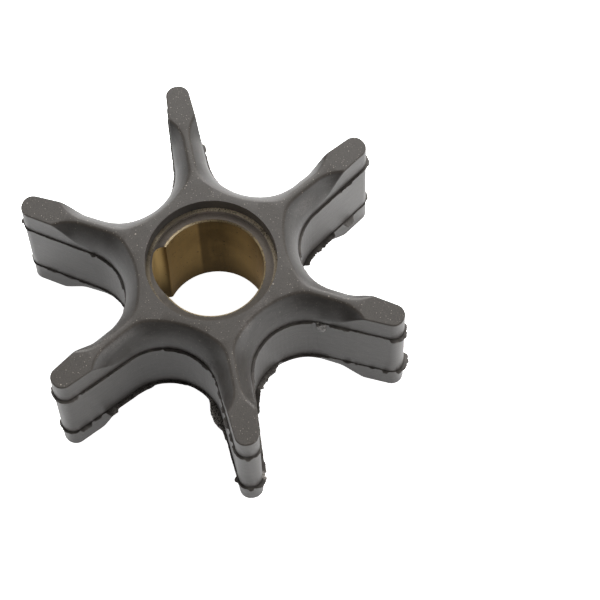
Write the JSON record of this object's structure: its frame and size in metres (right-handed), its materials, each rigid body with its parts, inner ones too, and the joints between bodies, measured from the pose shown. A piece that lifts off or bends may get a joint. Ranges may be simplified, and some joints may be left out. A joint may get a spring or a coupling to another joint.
{
  "type": "rubber pump impeller",
  "caption": "Flexible rubber pump impeller with straight tapered vanes, scooped reliefs at both ends and a bonded brass bush with a half-round keyway.",
  "frame": {"origin": "on the shaft axis, at the lower end face of the rubber", "axes": "+Z along the shaft axis towards the end with the deeper recess, -X from the shaft axis towards the keyway"},
  "size_m": [0.0672, 0.0672, 0.0245],
  "materials": {
    "rubber": "matte moulded rubber with fine pale specks",
    "brass": "dull machined brass"
  },
  "bodies": {
    "root": {"rubber_vanes": "rubber", "brass_hub": "brass"}
  },
  "joints": []
}
